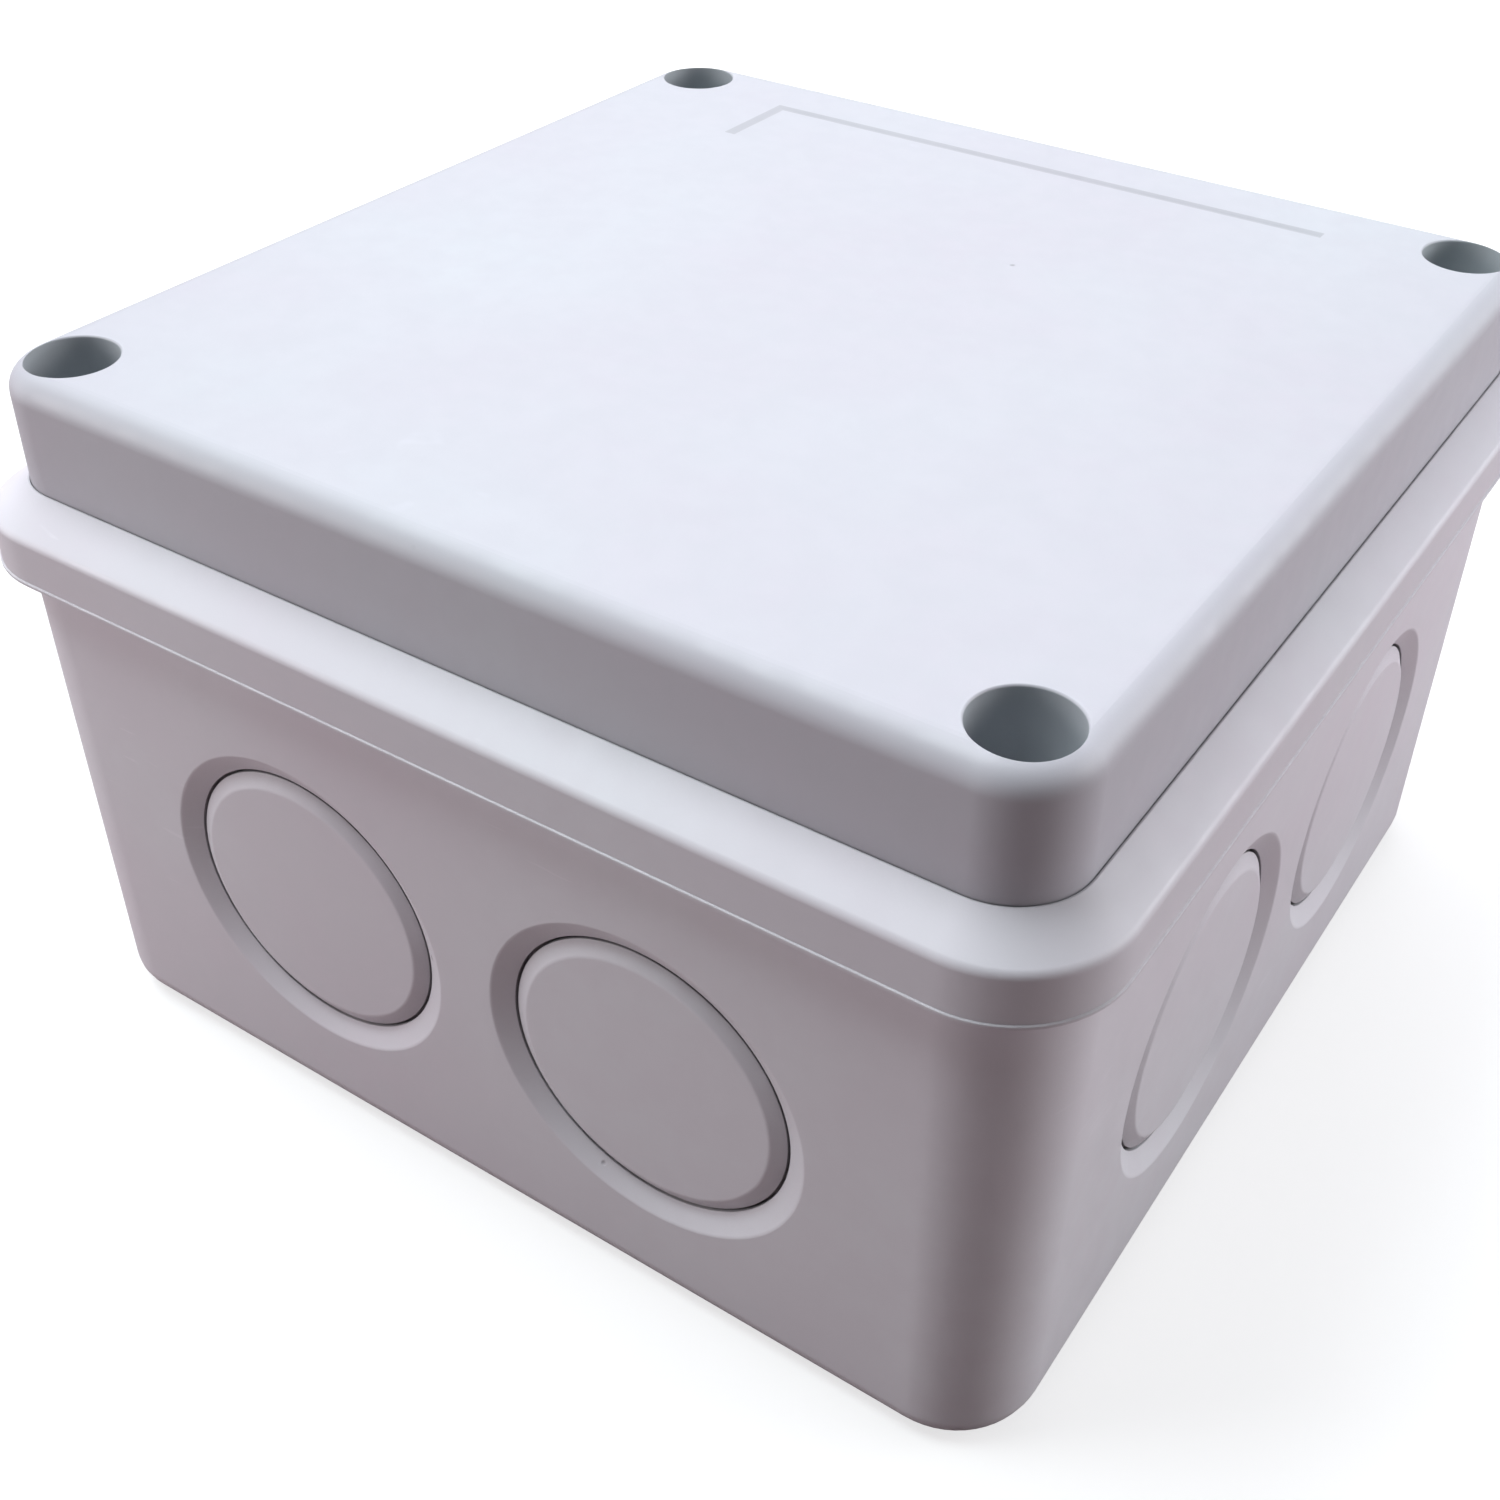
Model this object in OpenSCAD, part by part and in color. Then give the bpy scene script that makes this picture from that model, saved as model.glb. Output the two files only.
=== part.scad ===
// Surface-mounting electrical junction box: moulded base with knock-out cable entries, a screwed
// lid on a gasket, and a five-pole terminal block on the floor.
// Origin: centre of the back face (the wall side). +Z points out of the wall, through the lid.
// -Y is the front side, +X the right side. All sizes are in millimetres.

/* [Box] */
// Width of the base across its flange, the widest part
flange_w = 107.5; // [106:0.5:112]
// Height from the back face to the top of the lid
total_h = 67.5; // [66:0.5:72]
// Width of the base just under the flange
body_top_w = 103.4; // [102:0.1:104]
// Width of the base at the back face, smaller because the walls have draft
body_bottom_w = 101.7; // [99:0.1:102]
// Thickness of the base walls at the floor
wall = 2.9; // [2.5:0.1:3.1]
// Width of the base's mouth, just under the gasket
mouth_w = 97; // [96:0.1:97.4]
// Thickness of the base floor
floor_t = 2.5; // [2:0.1:3.5]
// Radius round the back edge
back_edge_r = 3; // [1:0.1:4]

/* [Flange] */
// Height of the flange's underside above the back face
flange_z = 49.9; // [48:0.1:51]
// Height of the upright band round the flange
band_h = 4.6; // [3:0.1:5]
// Height of the flange's top edge, where it meets the lid
rim_z = 57; // [56.5:0.1:58]
// Corner radius of the flange
flange_r = 9.7; // [8:0.1:12]

/* [Lid] */
// Width of the lid
lid_w = 100; // [99:0.1:100.4]
// Corner radius of the lid
lid_r = 6.2; // [5.5:0.1:8]
// Radius round the lid's top edge
lid_edge_r = 2.3; // [0.8:0.1:2.4]
// Thickness of the lid's flat plate
lid_t = 2.5; // [2:0.1:3]
// Thickness of the lid's wall
lid_wall = 2.2; // [1.8:0.1:2.4]
// Gap between the lid's wall and the step it sits in
lid_gap = 0.25; // [0.15:0.05:0.3]
// Width of the label frame line moulded in the lid
label_w = 63; // [40:1:66]

/* [Lid screws] */
// Distance of each screw from the box's centre lines
screw_xy = 44.4; // [44:0.1:44.6]
// Diameter of the deep recess over each screw
recess_d = 7.8; // [7.6:0.1:8.2]
// Diameter of the screw's head
head_d = 7; // [6:0.1:7.2]
// Diameter of the screw's thread
thread_d = 4; // [3.5:0.1:4]
// How far a loosened screw rises before its ring stops it
screw_travel = 9; // [6:0.5:9]

/* [Cable entries] */
// Diameter of the hole that a knocked-out blank leaves
entry_d = 25.4; // [20.4:0.1:25.4]
// Diameter of the sloped recess round each entry
entry_recess_d = 30.6; // [28:0.1:31]
// Diameter of the flat seat round each hole, where the blank's rim rests
entry_seat_d = 26.8; // [26:0.1:27.4]
// Diameter of the knock-out blank, where it fills the hole
blank_d = 24.2; // [19:0.1:24.4]
// Diameter of the blank's flat face, inside its sloped rim
blank_face_d = 23.8; // [20:0.1:24]
// Distance of the entries from the middle of each side
entry_x = 18.1; // [16.5:0.1:20]
// Height of the entries above the back face
entry_z = 25; // [20:0.1:26]
// How far the blank's face lies below the wall's surface
blank_inset = 0.4; // [0:0.05:0.6]

/* [Wall fixing] */
// Distance between the wall-fixing holes
fixing_pitch = 72; // [66:1:73]
// Diameter of the wall-fixing holes
fixing_d = 4.5; // [4:0.1:5]

/* [Terminal block] */
// Distance between poles
pole_pitch = 11; // [10.8:0.1:11.5]
// Diameter of each terminal's wire bore
wire_bore_d = 3.8; // [3:0.1:4]
// How far a clamp screw rises to open its terminal
clamp_travel = 3.2; // [1:0.1:3.4]

/* [Hidden] */
SIDES = ["front", "right", "back", "left"];
HANDS = ["a", "b"];
CORNERS = ["front_left", "front_right", "back_right", "back_left"];
POLES = 5;
$fn = 64;
hull_fn = 32;
slice = 0.01;
shell_grey = "#c9c9d1";
draft = atan((body_top_w - body_bottom_w) / 2 / flange_z);

// Base, from the back face up
body_top_r = 8.7;
body_bottom_r = 7.85;
cavity_bottom_r = 5;
cavity_top_r = 5.5;
column_r = 5.2;
step_w = lid_w + 2 * lid_gap;
step_r = lid_r + lid_gap;
step_z = rim_z - 3.5;
land = 0.3;
collar_r = 5;
collar_h = 2;

// Cable entries
recess_depth = 1;

// Lid and gasket
gasket_h = 1.5;
foot_z = step_z + gasket_h + 0.05;
label_line_w = 0.9;
label_depth = 0.2;
label_y = 41.3;
label_leg = 10;

// Captive lid screw, from the lid's screw floor up and down
screw_floor = 2;
floor_z = foot_z + screw_floor;
washer_h = 0.5;
head_z = floor_z + washer_h + 0.1;
head_h = 2.6;
neck_d = 3;
ring_h = 1;
ring_r = 3.4;
ring_z = foot_z - 0.1 - ring_h;
thread_top_z = ring_z - screw_travel - 0.1;
thread_l = 9;
insert_h = 8;
insert_z = thread_top_z - insert_h + 0.2;
insert_d = 5.9;
running = 0.06;

// Terminal block
post_r = 3.6;
post_h = 3.5;
block_z = floor_t + post_h;
block_w = POLES * pole_pitch - 1;
block_d = 18;
block_h = 10;
chimney_y = 4.6;
chimney_r = 3.9;
chimney_h = 5;
bridge_w = 4.4;
barrel_r = 2.6;
barrel_l = 15;
barrel_z = block_z + 5.5;
clamp_head_d = 4.4;
clamp_head_h = 2;
clamp_d = 2.9;
clamp_head_z = barrel_z + 3.9;
clamp_tip_z = barrel_z - 0.9;
fixing_screw_x = 1.5 * pole_pitch;

// Width of the drafted base at a height
function body_w(z) = body_bottom_w + (body_top_w - body_bottom_w) * z / flange_z;
// Corner radius of the drafted base at a height
function body_r(z) = body_bottom_r + (body_top_r - body_bottom_r) * z / flange_z;
// X of a pole, counted from 1
function pole_x(pole) = (pole - (POLES + 1) / 2) * pole_pitch;

// Flat square with round corners
module round_square(w, r) {
    square([w - 2 * r, w], center = true);
    square([w, w - 2 * r], center = true);
    for (x = [-1, 1], y = [-1, 1])
        translate([x, y] * (w / 2 - r)) circle(r);
}

// Square plate with round corners, its lower face at z
module plate(w, r, z, h) {
    translate([0, 0, z]) linear_extrude(h) round_square(w, r);
}

// Cylinder standing at a place in the plan
module post(x, y, z, h, r) {
    translate([x, y, z]) cylinder(r = r, h = h);
}

// Ring standing at a place in the plan
module ring(x, y, z, h, outer, inner) {
    translate([x, y, z]) linear_extrude(h) difference() {
        circle(outer);
        circle(inner);
    }
}

// Corner number to its screw's place
function corner_x(corner) = (corner == 1 || corner == 2) ? screw_xy : -screw_xy;
function corner_y(corner) = corner >= 2 ? screw_xy : -screw_xy;

// Puts its child on a cable entry, with +Z along the wall's outward normal and z = 0 on the wall
module at_entry(side, hand) {
    rotate(side * 90)
        translate([(hand == 0 ? -1 : 1) * entry_x, -body_w(entry_z) / 2, entry_z])
            rotate([90 + draft, 0, 0]) children();
}

// Drafted outside of the base, up to the flange, with a round back edge
module body_outside() {
    hull() {
        for (a = [0:30:90]) {
            z = back_edge_r * (1 - cos(a));
            inset = back_edge_r * (1 - sin(a));
            plate(body_w(z) - 2 * inset, body_r(z) - inset, z, slice, $fn = hull_fn);
        }
        plate(body_top_w, body_top_r, flange_z, slice, $fn = hull_fn);
    }
}

// Sloped top of the flange, from its band up to the edge beside the lid
module flange_slope() {
    hull() {
        plate(flange_w, flange_r, flange_z + band_h, slice, $fn = hull_fn);
        plate(step_w + 2 * land, step_r + land, rim_z - slice, slice, $fn = hull_fn);
    }
}

// Hollow inside of the base, which leaves a screw column in each corner
module base_cavity() {
    difference() {
        union() {
            hull() {
                plate(body_w(floor_t) - 2 * wall, cavity_bottom_r, floor_t, slice, $fn = hull_fn);
                plate(mouth_w, cavity_top_r, flange_z, slice, $fn = hull_fn);
            }
            plate(mouth_w, cavity_top_r, flange_z, rim_z - flange_z + 1);
        }
        for (c = [0:3]) post(corner_x(c), corner_y(c), 0, step_z, column_r);
    }
}

// Blind hole that holds one insert, with room for the screw's tip below it
module insert_hole(x, y) {
    post(x, y, insert_z, rim_z - insert_z, insert_d / 2 + 0.05);
    post(x, y, insert_z - 4, 5, thread_d / 2 + 0.35);
}

// Sloped recess, flat seat and hole of one cable entry
module entry_cut() {
    translate([0, 0, -recess_depth])
        cylinder(d1 = entry_seat_d, d2 = entry_recess_d, h = recess_depth);
    cylinder(d = entry_recess_d, h = 2);
    translate([0, 0, -wall * 2]) cylinder(d = entry_d, h = wall * 2 + 1);
}

// One-piece moulded base
module base() {
    color(shell_grey) difference() {
        union() {
            difference() {
                union() {
                    body_outside();
                    plate(flange_w, flange_r, flange_z, band_h);
                    flange_slope();
                }
                base_cavity();
                plate(step_w, step_r, step_z, rim_z);
            }
            for (x = [-1, 1]) {
                post(x * fixing_screw_x, 0, floor_t - 1, post_h + 1, post_r);
                for (y = [-1, 1])
                    post(x * fixing_pitch / 2, y * fixing_pitch / 2, floor_t - 1, collar_h + 1, collar_r);
            }
        }
        for (c = [0:3]) insert_hole(corner_x(c), corner_y(c));
        for (x = [-1, 1]) {
            post(x * fixing_screw_x, 0, floor_t + 0.5, post_h + 1, clamp_d / 2 + 0.1);
            for (y = [-1, 1])
                post(x * fixing_pitch / 2, y * fixing_pitch / 2, -1, floor_t + collar_h + 2, fixing_d / 2);
        }
        for (side = [0:3], hand = [0:1]) at_entry(side, hand) entry_cut();
    }
}

// Breakable blank in one cable entry: a plug with a sloped rim that rests on the seat
module knockout(side, hand) {
    blank_t = wall - blank_inset - 0.05;
    rim_d = entry_seat_d - 0.2;
    color(shell_grey) at_entry(side, hand) {
        translate([0, 0, -blank_inset - blank_t]) cylinder(d = blank_d, h = blank_t);
        translate([0, 0, 0.05 - recess_depth])
            cylinder(d1 = rim_d, d2 = blank_face_d, h = recess_depth - blank_inset - 0.05);
    }
}

// Lid outside: straight wall with a round top edge
module lid_outside() {
    straight_h = total_h - lid_edge_r - foot_z;
    plate(lid_w, lid_r, foot_z, straight_h);
    hull() {
        for (a = [0:22.5:90]) {
            inset = lid_edge_r * (1 - cos(a));
            rise = (lid_edge_r - slice) * sin(a);
            plate(lid_w - 2 * inset, lid_r - inset, foot_z + straight_h + rise, slice, $fn = hull_fn);
        }
    }
}

// L-shaped line that marks the label field
module label_line() {
    translate([-label_w / 2, label_y - label_line_w / 2, 0]) cube([label_w, label_line_w, 1]);
    translate([-label_w / 2, label_y - label_leg, 0]) cube([label_line_w, label_leg, 1]);
}

// Lid with its four screw columns
module lid() {
    color(shell_grey) difference() {
        lid_outside();
        difference() {
            plate(lid_w - 2 * lid_wall, lid_r - lid_wall, foot_z - 1, total_h - lid_t - foot_z + 1);
            for (c = [0:3]) post(corner_x(c), corner_y(c), 0, total_h, column_r);
        }
        for (c = [0:3]) {
            post(corner_x(c), corner_y(c), floor_z, total_h, recess_d / 2);
            post(corner_x(c), corner_y(c), foot_z - 1, total_h, thread_d / 2 + 0.3);
        }
        translate([0, 0, total_h - label_depth]) label_line();
    }
}

// Flat gasket in the step under the lid's wall
module lid_gasket() {
    color("#5d6066") translate([0, 0, step_z]) linear_extrude(gasket_h) difference() {
        round_square(step_w - 0.3, step_r - 0.15);
        round_square(mouth_w + 0.2, cavity_top_r + 0.1);
        for (c = [0:3]) translate([corner_x(c), corner_y(c)]) circle(ring_r + 0.5);
    }
}

// Brass inserts in the base's screw columns
module threaded_inserts() {
    color("#c9a24a") for (c = [0:3])
        ring(corner_x(c), corner_y(c), insert_z, insert_h, insert_d / 2, thread_d / 2 + running);
}

// Nylon rings under the lid that keep the screws captive
module retaining_rings() {
    color("#f2f2ee") for (c = [0:3])
        ring(corner_x(c), corner_y(c), ring_z, ring_h, ring_r, neck_d / 2 + running);
}

// Sealing washer under one screw's head
module screw_washer(corner) {
    color("#3c3d40")
        ring(corner_x(corner), corner_y(corner), floor_z + 0.05, washer_h, 3.7, neck_d / 2 + running);
}

// Lid screw with a cross recess, a plain neck and a threaded end
module lid_screw(corner) {
    cross_l = 4;
    cross_w = 0.9;
    cross_h = 1.5;
    color("#b9bcc2") translate([corner_x(corner), corner_y(corner), 0]) difference() {
        union() {
            post(0, 0, head_z, head_h, head_d / 2);
            post(0, 0, thread_top_z - 1, head_z - thread_top_z + 2, neck_d / 2);
            post(0, 0, thread_top_z - thread_l, thread_l, thread_d / 2);
        }
        for (a = [0, 90]) rotate(a)
            translate([-cross_l / 2, -cross_w / 2, head_z + head_h - cross_h]) cube([cross_l, cross_w, cross_h + 1]);
    }
}

// Moulded insulating housing with a chimney over every clamp screw
module terminal_housing() {
    color("#ecebe4") difference() {
        union() {
            translate([-block_w / 2, -block_d / 2, block_z]) cube([block_w, block_d, block_h]);
            for (pole = [1:POLES]) {
                x = pole_x(pole);
                for (y = [-1, 1])
                    post(x, y * chimney_y, block_z + block_h - 1, chimney_h + 1, chimney_r);
                translate([x - bridge_w / 2, -chimney_y, block_z + block_h - 1])
                    cube([bridge_w, 2 * chimney_y, chimney_h + 1]);
            }
        }
        for (pole = [1:POLES]) {
            translate([pole_x(pole), -block_d, barrel_z]) rotate([-90, 0, 0])
                cylinder(r = barrel_r + 0.05, h = 2 * block_d);
            for (y = [-1, 1]) {
                post(pole_x(pole), y * chimney_y, clamp_head_z - 0.3, block_h + chimney_h, clamp_head_d / 2 + 0.35);
                post(pole_x(pole), y * chimney_y, barrel_z, block_h, clamp_d / 2 + 0.3);
            }
        }
        for (x = [-1, 1]) post(x * fixing_screw_x, 0, 0, total_h, clamp_d / 2 + 0.2);
    }
}

// Brass wire barrel of one pole
module terminal_barrel(pole) {
    color("#c9a24a") difference() {
        translate([pole_x(pole), -barrel_l / 2, barrel_z]) rotate([-90, 0, 0])
            cylinder(r = barrel_r, h = barrel_l);
        translate([pole_x(pole), -barrel_l, barrel_z]) rotate([-90, 0, 0])
            cylinder(d = wire_bore_d, h = 2 * barrel_l);
        for (y = [-1, 1])
            post(pole_x(pole), y * chimney_y, barrel_z, block_h, clamp_d / 2 + running);
    }
}

// Slotted screw: shank from tip_z up to head_z0
module slotted_screw(x, y, tip_z, head_z0, head) {
    difference() {
        union() {
            post(x, y, tip_z, head_z0 - tip_z + 1, clamp_d / 2);
            post(x, y, head_z0, clamp_head_h, head / 2);
        }
        translate([x - head, y - 0.35, head_z0 + clamp_head_h - 0.8]) cube([2 * head, 0.7, 2]);
    }
}

// Screw that clamps a wire in one end of a barrel
module clamp_screw(pole, end) {
    color("#b9bcc2")
        slotted_screw(pole_x(pole), end * chimney_y, clamp_tip_z, clamp_head_z, clamp_head_d);
}

// Two screws that hold the terminal block on the base's posts
module terminal_fixing_screws() {
    color("#b9bcc2") for (x = [-1, 1])
        slotted_screw(x * fixing_screw_x, 0, floor_t + 0.8, block_z + block_h, 5.2);
}

base();
lid();
lid_gasket();
threaded_inserts();
retaining_rings();
for (c = [0:3]) {
    screw_washer(c);
    lid_screw(c);
}
for (side = [0:3], hand = [0:1])
    knockout(side, hand);
terminal_housing();
terminal_fixing_screws();
for (pole = [1:POLES]) {
    terminal_barrel(pole);
    clamp_screw(pole, -1);
    clamp_screw(pole, 1);
}
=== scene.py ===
"""Looks of the junction box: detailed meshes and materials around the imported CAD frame."""
import math

import bmesh
import bpy
from mathutils import Matrix, Vector


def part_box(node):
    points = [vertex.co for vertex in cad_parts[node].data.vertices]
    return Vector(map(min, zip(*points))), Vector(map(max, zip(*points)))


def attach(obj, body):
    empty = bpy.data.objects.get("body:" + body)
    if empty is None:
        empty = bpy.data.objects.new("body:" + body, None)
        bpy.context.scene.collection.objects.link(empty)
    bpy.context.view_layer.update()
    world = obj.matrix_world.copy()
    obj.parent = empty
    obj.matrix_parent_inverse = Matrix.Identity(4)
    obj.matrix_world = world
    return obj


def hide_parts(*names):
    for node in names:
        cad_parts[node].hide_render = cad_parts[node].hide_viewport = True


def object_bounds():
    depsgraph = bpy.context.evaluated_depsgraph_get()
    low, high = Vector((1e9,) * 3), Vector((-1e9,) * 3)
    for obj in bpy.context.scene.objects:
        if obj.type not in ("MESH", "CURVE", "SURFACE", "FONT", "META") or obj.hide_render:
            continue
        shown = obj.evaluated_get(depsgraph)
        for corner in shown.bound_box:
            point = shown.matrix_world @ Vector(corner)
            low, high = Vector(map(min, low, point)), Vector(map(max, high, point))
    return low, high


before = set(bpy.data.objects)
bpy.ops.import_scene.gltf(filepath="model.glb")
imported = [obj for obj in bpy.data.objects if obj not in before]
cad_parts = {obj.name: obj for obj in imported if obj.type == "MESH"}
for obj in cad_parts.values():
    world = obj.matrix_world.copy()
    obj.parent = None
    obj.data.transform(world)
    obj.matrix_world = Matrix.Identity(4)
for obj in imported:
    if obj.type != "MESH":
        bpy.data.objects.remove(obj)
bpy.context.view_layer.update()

MM = 0.001
TURN = 2 * math.pi
SIDES = ["front", "right", "back", "left"]
CORNERS = ["front_left", "front_right", "back_right", "back_left"]


def box(node):
    """Lowest and highest corner of a CAD node, in millimetres."""
    low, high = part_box(node)
    return low / MM, high / MM


# ---------------------------------------------------------------- sizes, in millimetres
_, base_high = box("base")
lid_low, lid_high = box("lid")
gasket_low, gasket_high = box("lid_gasket")
insert_low, insert_high = box("threaded_inserts")
ring_low, ring_high = box("retaining_rings")
block_low, block_high = box("terminal_housing")

FLANGE = base_high.x
RIM_Z = base_high.z
LID = lid_high.x
FOOT_Z, TOP_Z = lid_low.z, lid_high.z
STEP_Z = gasket_low.z
FLANGE_Z = 49.9
BAND_TOP = 54.5
BODY_TOP, BODY_BOTTOM = 51.7, 50.85
R_BODY_TOP, R_BODY_BOTTOM = 8.7, 7.85
R_FLANGE, R_LID = 9.7, 6.2
STEP = LID + 0.25
R_STEP = R_LID + 0.25
BACK_EDGE = 3.0
WALL, FLOOR_T = 2.9, 2.5
MOUTH, R_MOUTH = 48.5, 5.5
COLUMN_R = 5.2
LID_T, LID_WALL, LID_EDGE = 2.5, 2.2, 2.3
SCREW_FLOOR = FOOT_Z + 2
RECESS_R = 3.9
LINE_DEPTH = 0.2
ENTRY_R, ENTRY_LIP_R, ENTRY_DEPTH = 12.7, 15.3, 1.0
SEAT_R, SEAT_Z = 13.46, -1.7
BLANK_R, BLANK_RIM_R, BLANK_FACE_R, BLANK_INSET, BLANK_T = 12.1, 13.2, 11.9, 0.4, 2.45
ENTRY_X, ENTRY_Z = 18.1, 25.0
FIXING, FIXING_R = 36.0, 2.25
DRAFT = math.atan((BODY_TOP - BODY_BOTTOM) / FLANGE_Z)
POLES = [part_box("terminal_barrel_%d" % n)[0].x / MM + 2.6 for n in range(1, 6)]
POST_X = 16.5
CHIMNEY_Y, CHIMNEY_R, BRIDGE = 4.6, 3.9, 4.4
BARREL_Z = 11.5


def body_half(z):
    return BODY_BOTTOM + (BODY_TOP - BODY_BOTTOM) * z / FLANGE_Z


def screw_place(corner):
    low, high = box("lid_screw_" + corner)
    return (low.x + high.x) / 2, (low.y + high.y) / 2


# ---------------------------------------------------------------- mesh helpers
def circle(r, z, seg):
    return [(r * math.cos(TURN * i / seg), r * math.sin(TURN * i / seg), z) for i in range(seg)]


def solid(verts, faces):
    """A work object in millimetres: closed, with outward normals."""
    mesh = bpy.data.meshes.new("work")
    mesh.from_pydata([tuple(v) for v in verts], [], faces)
    bm = bmesh.new()
    bm.from_mesh(mesh)
    bmesh.ops.remove_doubles(bm, verts=bm.verts, dist=1e-5)
    bmesh.ops.recalc_face_normals(bm, faces=bm.faces)
    bm.to_mesh(mesh)
    bm.free()
    obj = bpy.data.objects.new("work", mesh)
    bpy.context.scene.collection.objects.link(obj)
    return obj


def join(*objs):
    """One work object that holds all of these meshes."""
    bm = bmesh.new()
    for o in objs:
        bm.from_mesh(o.data)
        bpy.data.objects.remove(o)
    mesh = bpy.data.meshes.new("work")
    bm.to_mesh(mesh)
    bm.free()
    obj = bpy.data.objects.new("work", mesh)
    bpy.context.scene.collection.objects.link(obj)
    return obj


def copies(obj, matrices):
    """Copies of a work object at these places, joined."""
    made = []
    for m in matrices:
        mesh = obj.data.copy()
        mesh.transform(m)
        o = bpy.data.objects.new("work", mesh)
        bpy.context.scene.collection.objects.link(o)
        made.append(o)
    bpy.data.objects.remove(obj)
    return join(*made)


def boolean(obj, operation, *tools):
    for tool in tools:
        mod = obj.modifiers.new("cut", "BOOLEAN")
        mod.operation, mod.object, mod.solver = operation, tool, "EXACT"
    graph = bpy.context.evaluated_depsgraph_get()
    mesh = bpy.data.meshes.new_from_object(obj.evaluated_get(graph))
    obj.modifiers.clear()
    obj.data = mesh
    for tool in tools:
        bpy.data.objects.remove(tool)
    return obj


def rounded(points, steps=5):
    """Polyline (x, z) through (x, z, fillet radius) points, with arcs at the filleted ones."""
    line = []
    for i, (x, z, f) in enumerate(points):
        p = Vector((x, z))
        if f <= 0:
            line.append((x, z, x))
            continue
        u = (Vector(points[i - 1][:2]) - p).normalized()
        v = (Vector(points[i + 1][:2]) - p).normalized()
        half = u.angle(v) / 2
        centre = p + (u + v).normalized() * f / math.sin(half)
        a = p + u * f / math.tan(half) - centre
        b = p + v * f / math.tan(half) - centre
        sweep = a.angle_signed(b)
        for k in range(steps + 1):
            t = -sweep * k / steps
            turned = Vector((a.x * math.cos(t) - a.y * math.sin(t), a.x * math.sin(t) + a.y * math.cos(t)))
            q = centre + turned
            line.append((q.x, q.y, x))
    return line


def square_ring(half, r, z, steps=14):
    c = half - r
    out = []
    for q, (sx, sy) in enumerate([(1, 1), (-1, 1), (-1, -1), (1, -1)]):
        for i in range(steps + 1):
            a = math.radians(90 * (q + i / steps))
            out.append((sx * c + r * math.cos(a), sy * c + r * math.sin(a), z))
    return out


def loft(rings, closed=False):
    """Closed skin through rings of equal length.
    closed joins the last ring to the first instead of capping."""
    n = len(rings[0])
    verts = [p for ring in rings for p in ring]
    faces = []
    count = len(rings)
    for k in range(count if closed else count - 1):
        a, b = k * n, ((k + 1) % count) * n
        for i in range(n):
            j = (i + 1) % n
            faces.append((a + i, a + j, b + j, b + i))
    if not closed:
        faces.append(tuple(reversed(range(n))))
        faces.append(tuple(range((count - 1) * n, count * n)))
    return solid(verts, faces)


def square_loft(points, radius, steps=5, closed=False):
    """Rounded-square solid whose half width and height follow a filleted profile.
    radius(x) gives the corner radius at the profile's own points; arcs keep it parallel."""
    rings = [square_ring(x, max(radius(x0) + x - x0, 0.05), z) for x, z, x0 in rounded(points, steps)]
    return loft(rings, closed)


def lathe(points, seg=48, steps=5, closed=False):
    """Solid turned round Z from a filleted (r, z) profile."""
    rings = [circle(r, z, seg) for r, z, _ in rounded(points, steps)]
    if closed:
        return loft(rings, True)
    verts, faces = [], []
    for ring in rings:
        verts += ring
    for k in range(len(rings) - 1):
        for i in range(seg):
            j = (i + 1) % seg
            faces.append((k * seg + i, k * seg + j, (k + 1) * seg + j, (k + 1) * seg + i))
    if points[0][0] > 1e-6:
        faces.append(tuple(reversed(range(seg))))
    if points[-1][0] > 1e-6:
        faces.append(tuple(range((len(rings) - 1) * seg, len(rings) * seg)))
    return solid(verts, faces)


def turned(rows, radius, seg=32):
    """Solid round Z whose radius is a function of the row's value and the angle."""
    rings = []
    for row in rows:
        ring = []
        for i in range(seg):
            a = TURN * i / seg
            r, z = radius(row, a)
            ring.append((r * math.cos(a), r * math.sin(a), z))
        rings.append(ring)
    return loft(rings)


def at(x, y, z=0.0):
    return Matrix.Translation((x, y, z))


def bevelled_box(sx, sy, sz, width, segments=3):
    """Box centred in plan, standing on z = 0, with round edges."""
    bm = bmesh.new()
    bmesh.ops.create_cube(bm, size=1)
    for v in bm.verts:
        v.co = (v.co.x * sx, v.co.y * sy, (v.co.z + 0.5) * sz)
    if width > 0:
        bmesh.ops.bevel(bm, geom=bm.edges[:], offset=width, segments=segments, profile=0.5, affect="EDGES")
    bmesh.ops.recalc_face_normals(bm, faces=bm.faces)
    mesh = bpy.data.meshes.new("work")
    bm.to_mesh(mesh)
    bm.free()
    obj = bpy.data.objects.new("work", mesh)
    bpy.context.scene.collection.objects.link(obj)
    return obj


def moved(obj, matrix):
    obj.data.transform(matrix)
    return obj


def piece(obj, name, body, material, nodes, angle=34, patches=()):
    """Turns a finished work object into a piece of the model, in metres.
    patches: further materials, each with a test of a face's centre in millimetres."""
    mesh = obj.data
    mesh.transform(Matrix.Scale(MM, 4))
    bm = bmesh.new()
    bm.from_mesh(mesh)
    bmesh.ops.remove_doubles(bm, verts=bm.verts, dist=2e-7)
    bmesh.ops.dissolve_degenerate(bm, edges=bm.edges, dist=1e-7)
    bm.to_mesh(mesh)
    bm.free()
    mesh.materials.clear()
    mesh.materials.append(material)
    for p in mesh.polygons:
        p.material_index = 0
        p.use_smooth = True
    for index, (extra, test) in enumerate(patches, 1):
        mesh.materials.append(extra)
        for p in mesh.polygons:
            if test(p.center / MM):
                p.material_index = index
    mesh.set_sharp_from_angle(angle=math.radians(angle))
    mod = obj.modifiers.new("normals", "WEIGHTED_NORMAL")
    mod.keep_sharp, mod.weight = True, 50
    obj.name = name
    mesh.name = name
    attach(obj, body)
    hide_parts(*nodes)
    return obj


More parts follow.
